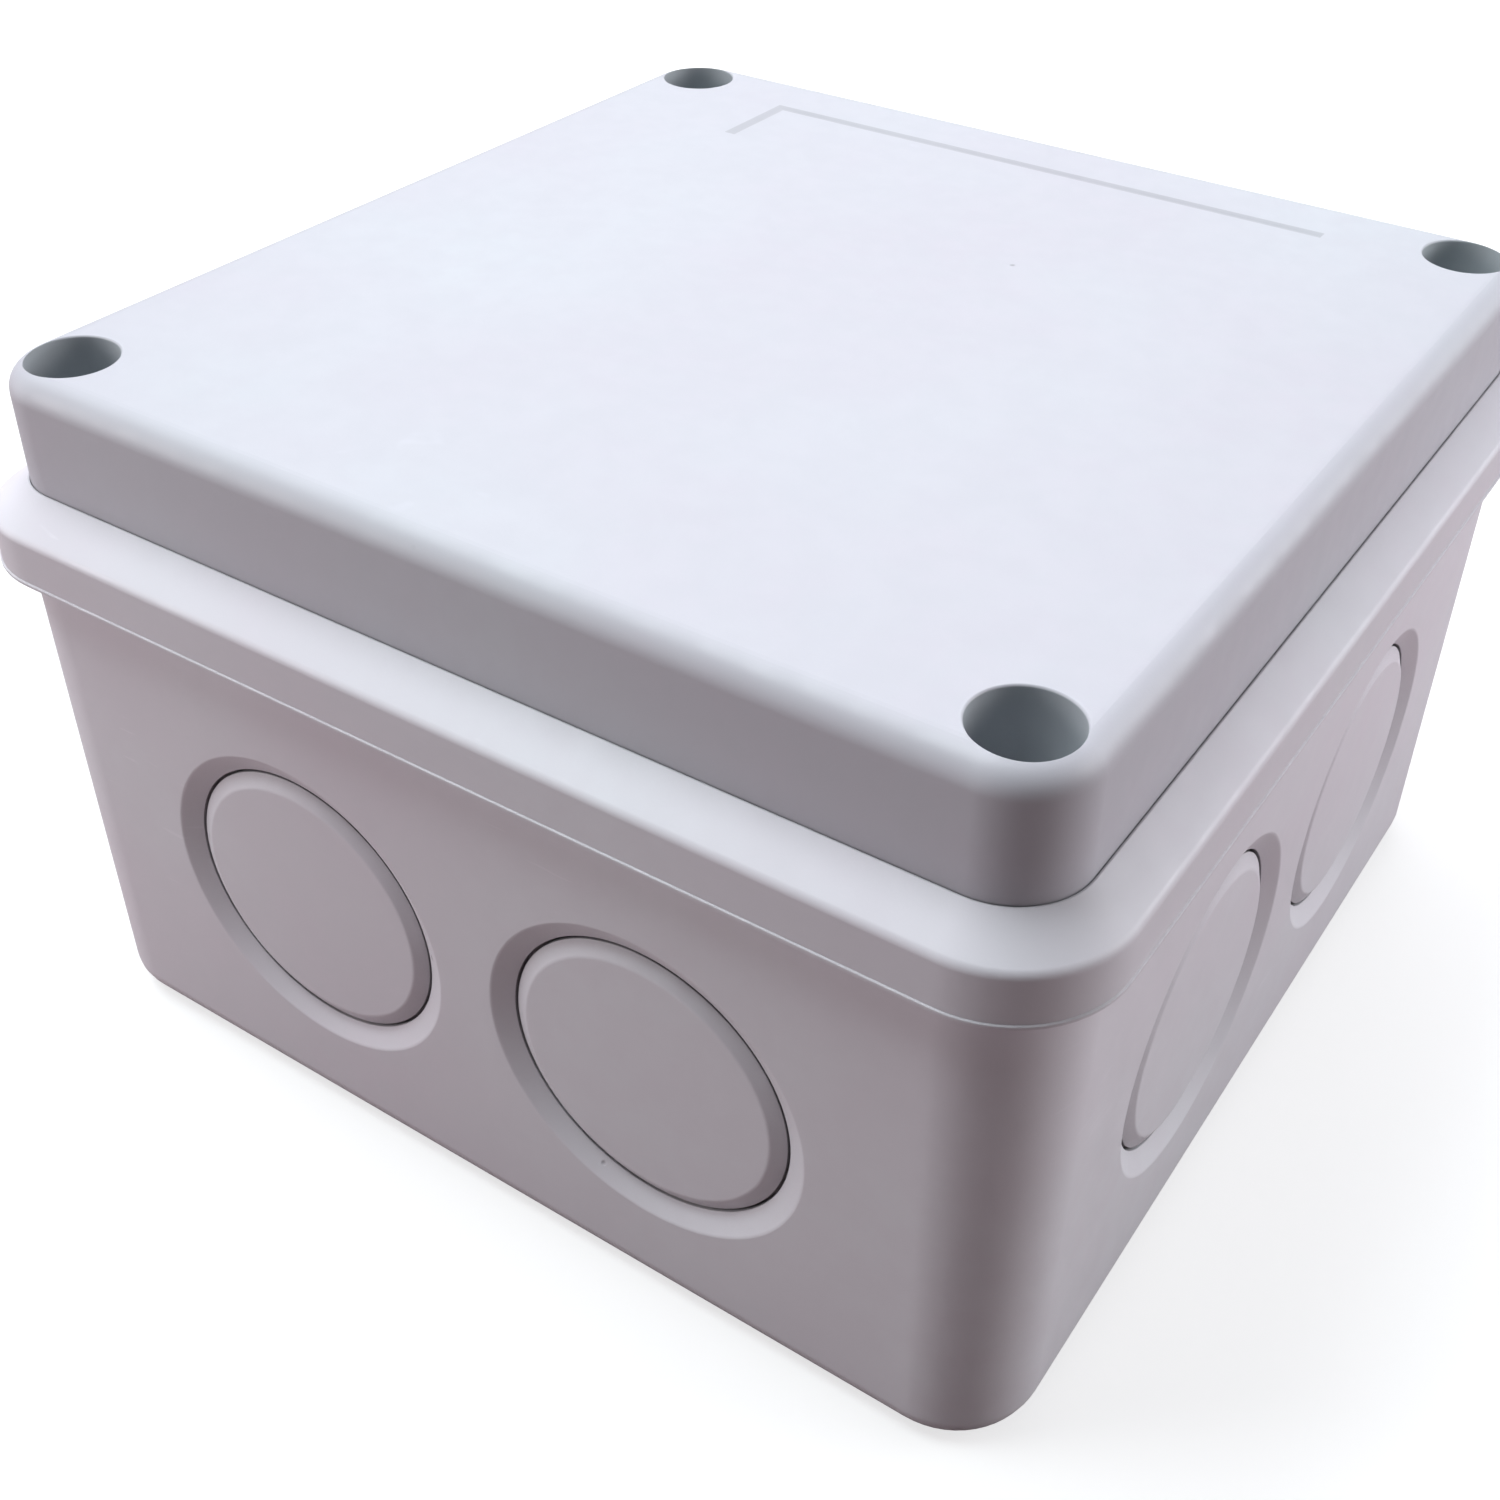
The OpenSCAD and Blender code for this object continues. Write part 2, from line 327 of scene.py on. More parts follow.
# ---------------------------------------------------------------- materials
class Shader:
    """Small helper that wires a procedural material."""

    def __init__(self, name):
        self.material = bpy.data.materials.new(name)
        self.material.use_nodes = True
        self.tree = self.material.node_tree
        self.bsdf = self.tree.nodes["Principled BSDF"]
        self.coords = self.node("ShaderNodeTexCoord").outputs["Object"]

    def node(self, kind, **values):
        n = self.tree.nodes.new(kind)
        for key, value in values.items():
            setattr(n, key, value)
        return n

    def link(self, a, b):
        self.tree.links.new(a, b)

    def noise(self, scale, detail=2.0, rough=0.5, stretch=None, distortion=0.0):
        n = self.node("ShaderNodeTexNoise")
        n.inputs["Scale"].default_value = scale
        n.inputs["Detail"].default_value = detail
        n.inputs["Roughness"].default_value = rough
        n.inputs["Distortion"].default_value = distortion
        self.link(self.stretched(stretch), n.inputs["Vector"])
        return n.outputs["Fac"]

    def stretched(self, stretch):
        if not stretch:
            return self.coords
        m = self.node("ShaderNodeMapping")
        m.inputs["Scale"].default_value = stretch
        self.link(self.coords, m.inputs["Vector"])
        return m.outputs["Vector"]

    def voronoi(self, scale, stretch=None):
        n = self.node("ShaderNodeTexVoronoi")
        n.inputs["Scale"].default_value = scale
        self.link(self.stretched(stretch), n.inputs["Vector"])
        return n.outputs["Distance"]

    def span(self, value, low, high, out_low=0.0, out_high=1.0, smooth=True):
        n = self.node("ShaderNodeMapRange", interpolation_type="SMOOTHSTEP" if smooth else "LINEAR")
        n.inputs["From Min"].default_value = low
        n.inputs["From Max"].default_value = high
        n.inputs["To Min"].default_value = out_low
        n.inputs["To Max"].default_value = out_high
        self.link(value, n.inputs["Value"])
        return n.outputs["Result"]

    def math(self, operation, a, b):
        n = self.node("ShaderNodeMath", operation=operation)
        for socket, value in zip(n.inputs, (a, b)):
            if isinstance(value, (int, float)):
                socket.default_value = value
            else:
                self.link(value, socket)
        return n.outputs["Value"]

    def mix(self, factor, a, b):
        n = self.node("ShaderNodeMix", data_type="RGBA")
        self.link(factor, n.inputs["Factor"])
        for name, value in (("A_Color", a), ("B_Color", b)):
            socket = next(s for s in n.inputs if s.identifier == name)
            if isinstance(value, tuple):
                socket.default_value = (*value, 1.0)
            else:
                self.link(value, socket)
        return next(s for s in n.outputs if s.identifier == "Result_Color")

    def bump(self, height, strength, distance, below=None):
        n = self.node("ShaderNodeBump")
        n.inputs["Strength"].default_value = strength
        n.inputs["Distance"].default_value = distance
        self.link(height, n.inputs["Height"])
        if below is not None:
            self.link(below, n.inputs["Normal"])
        return n.outputs["Normal"]

    def edges(self, radius):
        """Near 1 on tight edges, 0 on flat faces."""
        bevel = self.node("ShaderNodeBevel", samples=4)
        bevel.inputs["Radius"].default_value = radius
        true = self.node("ShaderNodeNewGeometry")
        dot = self.node("ShaderNodeVectorMath", operation="DOT_PRODUCT")
        self.link(bevel.outputs["Normal"], dot.inputs[0])
        self.link(true.outputs["Normal"], dot.inputs[1])
        return self.span(dot.outputs["Value"], 0.995, 0.9)

    def crevices(self, reach):
        """Near 1 deep in grooves and inner corners, 0 in the open: the mask for painted crevice shade."""
        n = self.node("ShaderNodeAmbientOcclusion", samples=6)
        n.inputs["Distance"].default_value = reach
        return self.span(n.outputs["AO"], 0.94, 0.3, smooth=False)

    def height(self):
        """Height in metres."""
        n = self.node("ShaderNodeSeparateXYZ")
        self.link(self.coords, n.inputs["Vector"])
        return n.outputs["Z"]

    def finish(self, colour, roughness, normal=None, **constants):
        self.link(colour, self.bsdf.inputs["Base Color"])
        self.link(roughness, self.bsdf.inputs["Roughness"])
        if normal is not None:
            self.link(normal, self.bsdf.inputs["Normal"])
        for key, value in constants.items():
            self.bsdf.inputs[key.replace("_", " ")].default_value = value
        return self.material


def shade(colour, factor):
    return tuple(min(1.0, c * factor) for c in colour)


def moulded_plastic(name, colour, roughness, grain=0.12, pits=True, wear_and_sheen=True, crevice_shade=0.0, band=None):
    """Satin moulded plastic: spark-eroded grain, slight sink waviness, tone drift, a few pits and scuffs,
    edges lightened by wear and a painted sheen, optional painted shade in crevices and on a band of heights.
    """
    s = Shader(name)
    drift = s.span(s.noise(24, 3), 0.32, 0.68)
    mottle = s.span(s.noise(260, 4, 0.6), 0.35, 0.65)
    warm = (colour[0] * 0.985, colour[1] * 0.955, colour[2] * 0.97)
    cool = (colour[0] * 1.0, colour[1] * 1.025, colour[2] * 1.015)
    tone = s.mix(drift, warm, cool)
    tone = s.mix(s.math("MULTIPLY", mottle, 0.5), tone, shade(colour, 0.975))
    rough = s.span(s.noise(420, 3), 0.3, 0.7, roughness - 0.05, roughness + 0.05)
    normal = s.bump(s.noise(3600, 2, 0.6), grain, 0.00003)
    normal = s.bump(s.noise(90, 2), 0.05, 0.0006, normal)
    if pits:
        spots = s.span(s.voronoi(95), 0.034, 0.016)
        rare = s.span(s.noise(46, 1), 0.53, 0.56)
        pit = s.math("MULTIPLY", spots, rare)
        tone = s.mix(s.math("MULTIPLY", pit, 0.55), tone, shade(colour, 0.42))
        normal = s.bump(s.math("SUBTRACT", 1.0, pit), 0.5, 0.00012, normal)
        scuff = s.span(s.noise(160, 2, 0.5, (1.0, 1.0, 9.0), 0.4), 0.66, 0.72)
        place = s.span(s.noise(31, 1), 0.6, 0.68)
        scuff = s.math("MULTIPLY", scuff, place)
        tone = s.mix(s.math("MULTIPLY", scuff, 0.28), tone, shade(colour, 1.2))
        rough = s.math("ADD", rough, s.math("MULTIPLY", scuff, 0.12))
    # edges lightened: partly worn plastic, partly a painted sheen
    if wear_and_sheen:
        edge = s.edges(0.0005)
        worn_sheen = s.math("MULTIPLY", edge, s.span(s.noise(700, 3), 0.42, 0.7))
        tone = s.mix(s.math("MULTIPLY", worn_sheen, 0.35), tone, shade(colour, 1.14))
        rough = s.math("ADD", rough, s.math("MULTIPLY", worn_sheen, -0.06))
    # painted shade: grooves and inner corners are darkened by ambient occlusion, where shade falls
    if crevice_shade:
        painted_crevice_shade = s.math("MULTIPLY", s.crevices(0.003), s.span(s.noise(300, 3), 0.2, 0.6, 0.75, 1.0))
        tone = s.mix(s.math("MULTIPLY", painted_crevice_shade, crevice_shade), tone, shade(colour, 0.3))
    # painted shade: the flange band is darkened, and the housing above it slightly less
    if band:
        low, high = (v * MM for v in band)
        z = s.height()
        band_shade = s.math("ADD", s.span(z, low - 0.001, low, 0, 0.16), s.span(z, high, high + 0.0006, 0, -0.08))
        tone = s.mix(band_shade, tone, shade(colour, 0.5))
    return s.finish(tone, rough, normal)


def rubber(name, colour, roughness):
    s = Shader(name)
    tone = s.mix(s.span(s.noise(500, 4, 0.6), 0.35, 0.65), shade(colour, 0.8), shade(colour, 1.25))
    dust = s.span(s.noise(2400, 2), 0.62, 0.72)
    tone = s.mix(s.math("MULTIPLY", dust, 0.35), tone, shade(colour, 2.4))
    rough = s.span(s.noise(900, 2), 0.3, 0.7, roughness - 0.08, roughness + 0.06)
    return s.finish(tone, rough, s.bump(s.noise(4200, 2), 0.25, 0.00004))


def metal(name, colour, roughness, stretch=(1.0, 1.0, 14.0), dull=0.7):
    """Plated or turned metal: fine tool marks, tarnish in patches, brighter worn edges."""
    s = Shader(name)
    tarnish = s.span(s.noise(380, 4, 0.6), 0.38, 0.68)
    tone = s.mix(tarnish, colour, shade(colour, dull))
    rough = s.span(s.noise(700, 3), 0.3, 0.7, roughness - 0.08, roughness + 0.12)
    edge = s.edges(0.00018)
    tone = s.mix(s.math("MULTIPLY", edge, 0.5), tone, shade(colour, 1.2))
    marks = s.noise(1500, 2, 0.5, stretch)
    return s.finish(tone, rough, s.bump(marks, 0.12, 0.00002), Metallic=1.0)


HOUSING_COLOUR = (0.742, 0.722, 0.779)
LID_COLOUR = (0.526, 0.524, 0.573)
MATERIALS = {
    # band: the heights of the flange band that get painted shade
    "housing_plastic": moulded_plastic(
        "housing_plastic", HOUSING_COLOUR, 0.49, crevice_shade=0.8, band=(FLANGE_Z, BAND_TOP - 0.7)
    ),
    "blank_plastic": moulded_plastic("blank_plastic", HOUSING_COLOUR, 0.49, crevice_shade=1.3),
    "lid_plastic": moulded_plastic("lid_plastic", LID_COLOUR, 0.52, crevice_shade=0.6),
    # painted shade: the screw recesses get a darker copy of the lid plastic
    "lid_recess_shade": moulded_plastic("lid_recess_shade", (0.43, 0.462, 0.49), 0.5, 0.12, False, False),
    # painted shade: the L-shaped line's floor and sides get the lid plastic darker
    "lid_line_shade": moulded_plastic("lid_line_shade", shade(LID_COLOUR, 0.8), 0.55, 0.12, False, False),
    "gasket_rubber": rubber("gasket_rubber", (0.09, 0.095, 0.105), 0.62),
    "washer_rubber": rubber("washer_rubber", (0.035, 0.036, 0.04), 0.55),
    "nylon": moulded_plastic("nylon", (0.78, 0.77, 0.72), 0.38, 0.08, False, False),
    "screw_steel": metal("screw_steel", (0.63, 0.64, 0.66), 0.27),
    "brass": metal("brass", (0.78, 0.57, 0.25), 0.3, (6.0, 1.0, 1.0), 0.78),
    "terminal_plastic": moulded_plastic("terminal_plastic", (0.76, 0.745, 0.69), 0.45, 0.1, False),
}


# ---------------------------------------------------------------- base
def entry_matrix(side, hand):
    """Z along the wall's outward normal, 0 on the wall, at a cable entry."""
    x = ENTRY_X * (1 if hand else -1)
    return (
        Matrix.Rotation(math.radians(90 * side), 4, "Z")
        @ Matrix.Translation((x, -body_half(ENTRY_Z), ENTRY_Z))
        @ Matrix.Rotation(math.pi / 2 + DRAFT, 4, "X")
    )


ENTRIES = [entry_matrix(side, hand) for side in range(4) for hand in range(2)]
SCREWS = [screw_place(c) for c in CORNERS]


def base_outside():
    lip, lip_h = FLANGE, 0.3
    band = FLANGE - 0.13
    slope_x = LID + 0.2

    def radius(x):
        if x <= BODY_TOP + 0.01:
            return R_BODY_BOTTOM + (R_BODY_TOP - R_BODY_BOTTOM) * (x - BODY_BOTTOM) / (BODY_TOP - BODY_BOTTOM)
        return R_FLANGE + x - FLANGE

    profile = [
        (BODY_BOTTOM - BACK_EDGE, 0, 0),
        (BODY_BOTTOM, 0, BACK_EDGE - 0.001),
        (BODY_TOP, FLANGE_Z, 0.45),
        (lip, FLANGE_Z, 0.08),
        (lip, FLANGE_Z + lip_h, 0.08),
        (band, FLANGE_Z + lip_h + 0.08, 0.04),
        (band, BAND_TOP, 0.95),
        (slope_x, RIM_Z, 0.12),
        (STEP - 1.0, RIM_Z, 0),
    ]

    def pick(x):
        if abs(x - (BODY_BOTTOM - BACK_EDGE)) < 1e-6:
            return R_BODY_BOTTOM - BACK_EDGE
        if abs(x - slope_x) < 1e-6:
            return R_LID + 0.2
        if x < STEP:
            return R_STEP - 1.0
        return radius(x)

    return square_loft(profile, pick, 6)


def cavity():
    floor_half = body_half(FLOOR_T) - WALL
    profile = [
        (floor_half - 1.4, FLOOR_T, 0),
        (floor_half, FLOOR_T, 1.39),
        (MOUTH, FLANGE_Z, 0),
        (MOUTH, RIM_Z + 2, 0),
    ]
    radius = lambda x: 5.0 - 1.4 if x < floor_half - 1 else (5.0 if x <= floor_half else R_MOUTH)
    hollow = square_loft(profile, radius, 5)
    column = lathe([(COLUMN_R + 0.35, -1, 0), (COLUMN_R + 0.35, FLOOR_T, 0), (COLUMN_R, STEP_Z, 0)], 56)
    return boolean(hollow, "DIFFERENCE", copies(column, [at(x, y) for x, y in SCREWS]))


def step_tool():
    """Step that takes the gasket and the lid's foot; its mouth closes in on the lid."""
    mouth = LID + 0.07
    profile = [
        (STEP - 0.3, STEP_Z, 0), (STEP, STEP_Z, 0.29), (STEP, RIM_Z - 0.6, 0.1), (mouth, RIM_Z - 0.3, 0.1),
        (mouth, RIM_Z, 0.04), (mouth + 0.05, RIM_Z + 0.04, 0), (mouth + 0.06, RIM_Z + 3, 0),
    ]
    return square_loft(profile, lambda x: R_STEP + x - STEP, 4)


def entry_tool():
    """Cuts one entry: a soft lip at the wall, a sloped recess and the hole."""
    return lathe(
        [
            (ENTRY_R, -3 * WALL, 0),
            (ENTRY_R, SEAT_Z, 0),
            (SEAT_R, SEAT_Z, 0),
            (SEAT_R, -ENTRY_DEPTH, 0.08),
            (ENTRY_LIP_R, 0.0, 0.9),
            (ENTRY_LIP_R + 1.2, 0.06, 0),
            (ENTRY_LIP_R + 1.2, 2, 0),
        ],
        128,
        6,
    )


def insert_tool():
    low = insert_low.z
    return lathe(
        [
            (2.35, low - 4, 0), (2.35, low, 0), (2.98, low, 0),
            (2.98, STEP_Z - 0.35, 0), (3.5, STEP_Z + 0.17, 0), (3.5, STEP_Z + 2, 0),
        ],
        40,
    )


def fixing_tool(height):
    r = FIXING_R
    return lathe([(r + 1.0, -0.5, 0), (r, 0.5, 0), (r, height - 0.4, 0), (r + 1.0, height + 0.6, 0)], 40)


def build_base():
    shell = base_outside()
    boolean(shell, "DIFFERENCE", cavity())
    boolean(shell, "DIFFERENCE", step_tool())
    collar = lathe(
        [(5.5, FLOOR_T - 1, 0), (5.2, FLOOR_T + 0.01, 0), (5.0, FLOOR_T + 2, 0.35), (0.5, FLOOR_T + 2, 0)], 48
    )
    corners = [(sx * FIXING, sy * FIXING) for sx in (-1, 1) for sy in (-1, 1)]
    post = lathe(
        [(4.1, FLOOR_T - 1, 0), (3.9, FLOOR_T + 0.01, 0), (3.6, FLOOR_T + 3.5, 0.3), (0.5, FLOOR_T + 3.5, 0)],
        40,
    )
    collars = copies(collar, [at(x, y) for x, y in corners])
    posts = copies(post, [at(x, 0) for x in (-POST_X, POST_X)])
    rib = bevelled_box(9.5, 1.1, 3.6, 0.25, 2)
    ribs = copies(rib, [at(sx * POST_X + dx, 0, FLOOR_T - 1) for sx in (-1, 1) for dx in (-5.5, 5.5)])
    boolean(shell, "UNION", collars)
    boolean(shell, "UNION", posts)
    boolean(shell, "UNION", ribs)
    height = FLOOR_T + 2
    boolean(shell, "DIFFERENCE", copies(fixing_tool(height), [at(x, y) for x, y in corners]))
    pilot = lathe([(1.55, 3.0, 0), (1.55, 5.75, 0), (1.85, 6.05, 0), (1.85, 7, 0)], 32)
    boolean(shell, "DIFFERENCE", copies(pilot, [at(x, 0) for x in (-POST_X, POST_X)]))
    boolean(shell, "DIFFERENCE", copies(insert_tool(), [at(x, y) for x, y in SCREWS]))
    boolean(shell, "DIFFERENCE", copies(entry_tool(), ENTRIES))
    # Underside: a shallow panel and ejector marks
    marks = [at(sx * 26, sy * 26) for sx in (-1, 1) for sy in (-1, 1)]
    ejector = lathe([(3.0, -1, 0), (3.0, 0.12, 0), (2.88, 0.2, 0)], 40)
    boolean(shell, "DIFFERENCE", copies(ejector, marks))
    gate = lathe([(4.2, -1, 0), (4.2, 0, 0), (3.2, 0.5, 0)], 40)
    boolean(shell, "DIFFERENCE", gate)
    return shell


# ---------------------------------------------------------------- lid
def label_tool():
    """L-shaped moulded line: wide at the top, narrow at its bottom."""
    half, y, leg, w, depth = 31.5, 41.3, 10.0, 0.6, LINE_DEPTH

    def outline(grow, z):
        g = w + grow
        return [
            (-half + w - g, y + g, z),
            (-half + w - g, y - leg - grow, z),
            (-half + w + g, y - leg - grow, z),
            (-half + w + g, y - g, z),
            (half + grow, y - g, z),
            (half + grow, y + g, z),
        ]

    rings = [outline(-0.3, TOP_Z - depth), outline(0.03, TOP_Z), outline(0.03, TOP_Z + 1)]
    n = 6
    verts = [p for r in rings for p in r]
    faces = [tuple(range(n)), tuple(reversed(range(2 * n, 3 * n)))]
    for k in range(2):
        for i in range(n):
            j = (i + 1) % n
            faces.append((k * n + i, k * n + j, (k + 1) * n + j, (k + 1) * n + i))
    return solid(verts, faces)


def build_lid():
    outside = square_loft(
        [
            (LID - 0.3, FOOT_Z, 0), (LID, FOOT_Z, 0.28),
            (LID, TOP_Z, LID_EDGE - 0.001), (LID - LID_EDGE, TOP_Z, 0),
        ],
        lambda x: R_LID + x - LID,
        10,
    )
    inner = LID - LID_WALL
    hollow = square_loft(
        [(inner, FOOT_Z - 1, 0), (inner, TOP_Z - LID_T, 0.8), (inner - 0.81, TOP_Z - LID_T, 0)],
        lambda x: R_LID - LID_WALL + x - inner,
        4,
    )
    column = lathe([(COLUMN_R, FOOT_Z - 2, 0), (COLUMN_R + 0.2, TOP_Z, 0)], 56)
    boolean(hollow, "DIFFERENCE", copies(column, [at(x, y) for x, y in SCREWS]))
    boolean(outside, "DIFFERENCE", hollow)
    hole = lathe(
        [
            (2.3, FOOT_Z - 1, 0), (2.3, SCREW_FLOOR, 0), (RECESS_R, SCREW_FLOOR, 0.25),
            (RECESS_R, TOP_Z, 0.22), (RECESS_R + 1, TOP_Z + 0.04, 0), (RECESS_R + 1, TOP_Z + 2, 0),
        ],
        72,
        4,
    )
    boolean(outside, "DIFFERENCE", copies(hole, [at(x, y) for x, y in SCREWS]))
    boolean(outside, "DIFFERENCE", label_tool())
    ceiling = TOP_Z - LID_T
    ejector = lathe([(2.6, ceiling - 1, 0), (2.6, ceiling + 0.05, 0), (2.5, ceiling + 0.15, 0)], 36)
    marks = [(sx * 30, sy * 30) for sx in (-1, 1) for sy in (-1, 1)]
    boolean(outside, "DIFFERENCE", copies(ejector, [at(x, y) for x, y in marks]))
    return outside


# ---------------------------------------------------------------- small parts
def build_gasket():
    outer, inner = gasket_high.x, 48.8
    top, bottom = gasket_high.z, gasket_low.z
    middle = (outer + inner) / 2
    profile = [
        (outer, bottom, 0.08), (outer, top - 0.35, 0.12), (outer - 0.28, top - 0.28, 0.06),
        (middle, top, 0.3), (inner + 0.28, top - 0.28, 0.06),
        (inner, top - 0.35, 0.12), (inner, bottom, 0.08),
    ]
    n = len(profile)
    looped = [profile[-1]] + profile + [profile[0]]
    arcs = rounded([(p[0], p[1], p[2] if 0 < i < n + 1 else 0) for i, p in enumerate(looped)], 3)[1:-1]
    rings = [square_ring(x, 6.3 + x - outer, z) for x, z, _ in arcs]
    return loft(rings, True)


def ring_solid(outer, inner, low, high, fillet, seg=48):
    """Flat ring with round edges."""
    points = [
        (inner, low, fillet), (outer, low, fillet), (outer, high, fillet), (inner, high, fillet),
    ]
    looped = [points[-1]] + points + [points[0]]
    arcs = rounded([(p[0], p[1], p[2] if 0 < i < 5 else 0) for i, p in enumerate(looped)], 3)[1:-1]
    rings = [circle(r, z, seg) for r, z, _ in arcs]
    return loft(rings, True)


def thread_radius(core, major, pitch, z, angle, low, high):
    """Radius of a thread's surface at a height and angle, running out at both ends."""
    phase = (z / pitch - angle / TURN) % 1.0
    tooth = max(0.0, 1.0 - abs(phase - 0.5) * 2.6)
    tooth = min(1.0, tooth * 1.35)
    fade = min(1.0, max(0.0, (z - low) / (1.2 * pitch))) * min(1.0, max(0.0, (high - z) / (0.8 * pitch)))
    return core + (major - core) * tooth * fade


def build_lid_screw():
    low, high = box("lid_screw_" + CORNERS[0])
    low_z, high_z = low.z, high.z
    thread_top = low_z + 9
    head = high_z - 2.6
    rows = []
    count = 96
    rows += [("tip", low_z, 1.05), ("tip", low_z + 0.35, 1.45)]
    for i in range(1, count + 1):
        rows.append(("thread", low_z + 0.35 + (thread_top - low_z - 0.35) * i / count, 1.55))
    rows += [("plain", thread_top + 0.1, 1.5), ("plain", head - 0.25, 1.5), ("plain", head, 1.7)]
    for i in range(5):
        a = math.radians(90 * i / 4)
        rows.append(("plain", head + 0.18 * (1 - math.cos(a)), 3.32 + 0.18 * math.sin(a)))
    for i in range(9):
        a = math.radians(90 * i / 8)
        rows.append(("plain", high_z - 0.9 + 0.9 * math.sin(a) ** 0.9, 3.5 - 1.1 * (1 - math.cos(a))))

    def radius(row, angle):
        kind, z, r = row
        if kind == "thread":
            r = thread_radius(1.5, 2.0, 0.7, z, angle, low_z + 0.3, thread_top + 0.2)
        return r, z

    screw = turned(rows, radius, 40)
    arms = []
    for quarter in range(2):
        arm = []
        for z, half_l, half_w in (
            (high_z - 1.55, 0.62, 0.3), (high_z + 0.05, 2.02, 0.5), (high_z + 1, 2.02, 0.5),
        ):
            ring = [(half_l, half_w, z), (-half_l, half_w, z), (-half_l, -half_w, z), (half_l, -half_w, z)]
            arm.append(ring)
        blade = loft(arm)
        blade.data.transform(Matrix.Rotation(math.pi / 2 * quarter, 4, "Z"))
        arms.append(blade)
    cone = lathe([(0.25, high_z - 1.75, 0), (0.75, high_z + 0.05, 0), (0.75, high_z + 1, 0)], 24)
    for tool in arms + [cone]:
        boolean(screw, "DIFFERENCE", tool)
    return screw


def build_insert():
    """Knurled brass insert: two knurled bands with a groove between, and a chamfered bore."""
    low, high = insert_low.z, insert_high.z
    outer, bore = 2.95, 2.06
    seg, rows = 72, 44
    rings = []
    for k in range(rows + 1):
        z = low + (high - low) * k / rows
        t = k / rows
        groove = 0.28 if 0.44 < t < 0.56 else 0.0
        ends = 0.3 * max(0.0, 1 - min(t, 1 - t) / 0.05)
        ring = []
        for i in range(seg):
            a = TURN * i / seg
            lean = 2.2 if t < 0.5 else -2.2
            knurl = abs(((i / seg * 24 + lean * t * 4) % 1.0) - 0.5) * 2
            cut = 0.16 * knurl if groove == 0 else 0.0
            r = outer - max(groove, ends, cut)
            ring.append((r * math.cos(a), r * math.sin(a), z))
        rings.append(ring)
    for r, z in ((bore + 0.3, high), (bore, high - 0.3), (bore, low + 0.3), (bore + 0.3, low)):
        rings.append(circle(r, z, seg))
    return loft(rings, True)


def build_blank():
    """Knock-out blank: a plug with a sloped rim in front and the torn web behind."""
    back = -BLANK_INSET - BLANK_T
    return lathe(
        [
            (0, -BLANK_INSET, 0),
            (BLANK_FACE_R, -BLANK_INSET, 0.8),
            (BLANK_RIM_R, -ENTRY_DEPTH - 0.05, 0.08),
            (BLANK_RIM_R, SEAT_Z + 0.05, 0.05),
            (BLANK_R, SEAT_Z + 0.05, 0),
            (BLANK_R, back + 0.75, 0.05),
            (12.62, back + 0.65, 0.06),
            (12.62, back + 0.45, 0.06),
            (BLANK_R + 0.1, back + 0.25, 0.05),
            (BLANK_R, back, 0.15),
            (0, back, 0),
        ],
        128,
        4,
    )


def slotted(low_z, head_z, high_z, head_r, pitch=0.5):
    """Slotted screw with a real thread on its shank."""
    rows = [("plain", low_z, 0.95), ("plain", low_z + 0.3, 1.2)]
    count = max(8, int((head_z - low_z - 0.3) / pitch * 7))
    for i in range(1, count + 1):
        rows.append(("thread", low_z + 0.3 + (head_z - low_z - 0.4) * i / count, 1.25))
    for i in range(4):
        a = math.radians(90 * i / 3)
        rows.append(("plain", head_z + 0.12 * (1 - math.cos(a)), head_r - 0.12 + 0.12 * math.sin(a)))
    for i in range(6):
        a = math.radians(90 * i / 5)
        rows.append(("plain", high_z - 0.4 + 0.4 * math.sin(a), head_r - 0.4 * (1 - math.cos(a))))

    def radius(row, angle):
        kind, z, r = row
        if kind == "thread":
            r = thread_radius(1.18, 1.45, pitch, z, angle, low_z + 0.2, head_z + 0.2)
        return r, z

    screw = turned(rows, radius, 28)
    slot = bevelled_box(head_r * 2.4, 0.72, 2, 0)
    return boolean(screw, "DIFFERENCE", moved(slot, at(0, 0, high_z - 0.8)))


def build_barrel():
    """Wire barrel along Y, with chamfered mouths and its two screw holes."""
    low, high = box("terminal_barrel_1")
    half = (high.y - low.y) / 2
    r, bore, chamfer = 2.6, 1.9, 0.3
    points = [
        (bore + chamfer, -half), (r - 0.2, -half), (r, -half + 0.2),
        (r, half - 0.2), (r - 0.2, half), (bore + chamfer, half),
        (bore, half - chamfer), (bore, -half + chamfer),
    ]
    seg = 48
    rings = [circle(p, q, seg) for p, q in points]
    barrel = loft(rings, True)
    barrel.data.transform(Matrix.Rotation(-math.pi / 2, 4, "X"))
    hole = lathe([(1.51, 0, 0), (1.51, 6, 0)], 32)
    return boolean(barrel, "DIFFERENCE", copies(hole, [at(0, -CHIMNEY_Y), at(0, CHIMNEY_Y)]))


